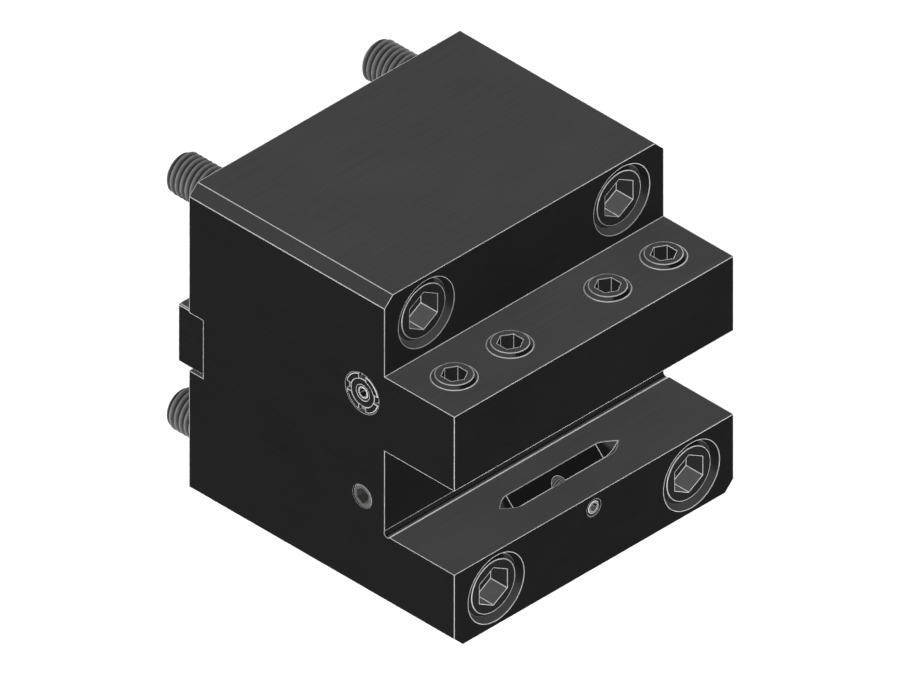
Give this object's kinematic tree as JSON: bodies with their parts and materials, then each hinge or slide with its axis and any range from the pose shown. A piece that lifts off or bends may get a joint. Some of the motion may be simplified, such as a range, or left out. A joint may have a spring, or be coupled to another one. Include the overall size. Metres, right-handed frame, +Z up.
{
  "type": "turret tool holder",
  "caption": "Black block for a lathe turret with a side-to-side slot for a square turning tool, clamping screws, bolted and keyed back face, and ball nozzles for coolant.",
  "frame": {"origin": "centre of the flat mounting face that lies on the turret, midway between the four bolts", "axes": "+Y points out of the mounting face into the turret, +Z is up, away from the flat base, and +X runs along the tool slot, to the right as seen from the front"},
  "size_m": [0.1, 0.113, 0.096],
  "materials": {
    "black_body": "ground and machined steel, blackened",
    "black_screw": "blackened screw steel",
    "ground_key": "hardened and ground steel, blackened",
    "nozzle_steel": "turned steel, blackened",
    "grey_plug": "plain grey steel with a trace of thread sealant",
    "seal_rubber": "matt black rubber"
  },
  "bodies": {
    "block": {"holder_body": "black_body", "locating_pilot": "black_body", "locating_key_left": "ground_key", "locating_key_right": "ground_key", "key_screw_left": "black_screw", "key_screw_right": "black_screw", "pilot_seal": "seal_rubber", "inlet_seal": "seal_rubber", "nozzle_ring_left": "nozzle_steel", "nozzle_ring_right": "nozzle_steel", "nozzle_seal_left": "seal_rubber", "nozzle_seal_right": "seal_rubber", "channel_plug_left": "grey_plug", "channel_plug_right": "grey_plug", "channel_plug_bottom": "grey_plug"},
    "upper_mounting_bolt_left": {"upper_mounting_bolt_left": "black_screw"},
    "upper_mounting_bolt_right": {"upper_mounting_bolt_right": "black_screw"},
    "lower_mounting_bolt_left": {"lower_mounting_bolt_left": "black_screw"},
    "lower_mounting_bolt_right": {"lower_mounting_bolt_right": "black_screw"},
    "clamp_screw_inner_left": {"clamp_screw_inner_left": "black_screw"},
    "clamp_screw_outer_left": {"clamp_screw_outer_left": "black_screw"},
    "clamp_screw_inner_right": {"clamp_screw_inner_right": "black_screw"},
    "clamp_screw_outer_right": {"clamp_screw_outer_right": "black_screw"},
    "coolant_shutoff_screw": {"coolant_shutoff_screw": "black_screw"},
    "nozzle_ball_left": {"nozzle_ball_left": "nozzle_steel"},
    "nozzle_screw_left": {"nozzle_screw_left": "nozzle_steel"},
    "nozzle_ball_right": {"nozzle_ball_right": "nozzle_steel"},
    "nozzle_screw_right": {"nozzle_screw_right": "nozzle_steel"}
  },
  "joints": [
    {"name": "upper_bolt_left_withdraw", "type": "slide", "parent": "block", "child": "upper_mounting_bolt_left", "axis": [0, -1, 0], "range_m": [0, 0.018]},
    {"name": "upper_bolt_right_withdraw", "type": "slide", "parent": "block", "child": "upper_mounting_bolt_right", "axis": [0, -1, 0], "range_m": [0, 0.018]},
    {"name": "lower_bolt_left_withdraw", "type": "slide", "parent": "block", "child": "lower_mounting_bolt_left", "axis": [0, -1, 0], "range_m": [0, 0.018]},
    {"name": "lower_bolt_right_withdraw", "type": "slide", "parent": "block", "child": "lower_mounting_bolt_right", "axis": [0, -1, 0], "range_m": [0, 0.018]},
    {"name": "clamp_inner_left_travel", "type": "slide", "parent": "block", "child": "clamp_screw_inner_left", "axis": [0, 0, 1], "range_m": [-0.005, 0.002]},
    {"name": "clamp_outer_left_travel", "type": "slide", "parent": "block", "child": "clamp_screw_outer_left", "axis": [0, 0, 1], "range_m": [-0.005, 0.002]},
    {"name": "clamp_inner_right_travel", "type": "slide", "parent": "block", "child": "clamp_screw_inner_right", "axis": [0, 0, 1], "range_m": [-0.005, 0.002]},
    {"name": "clamp_outer_right_travel", "type": "slide", "parent": "block", "child": "clamp_screw_outer_right", "axis": [0, 0, 1], "range_m": [-0.005, 0.002]},
    {"name": "coolant_shutoff", "type": "slide", "parent": "block", "child": "coolant_shutoff_screw", "axis": [0, -1, 0], "range_m": [0, 0.009]},
    {"name": "nozzle_swing_left", "type": "hinge", "parent": "block", "child": "nozzle_ball_left", "pos_m": [-0.047, -0.062, 0.015], "axis": [0, 0, 1], "range_deg": [-12, 12]},
    {"name": "nozzle_screw_left_withdraw", "type": "slide", "parent": "nozzle_ball_left", "child": "nozzle_screw_left", "axis": [-1, 0, 0], "range_m": [0, 0.004]},
    {"name": "nozzle_swing_right", "type": "hinge", "parent": "block", "child": "nozzle_ball_right", "pos_m": [0.047, -0.062, 0.015], "axis": [0, 0, 1], "range_deg": [-12, 12]},
    {"name": "nozzle_screw_right_withdraw", "type": "slide", "parent": "nozzle_ball_right", "child": "nozzle_screw_right", "axis": [1, 0, 0], "range_m": [0, 0.004]}
  ]
}
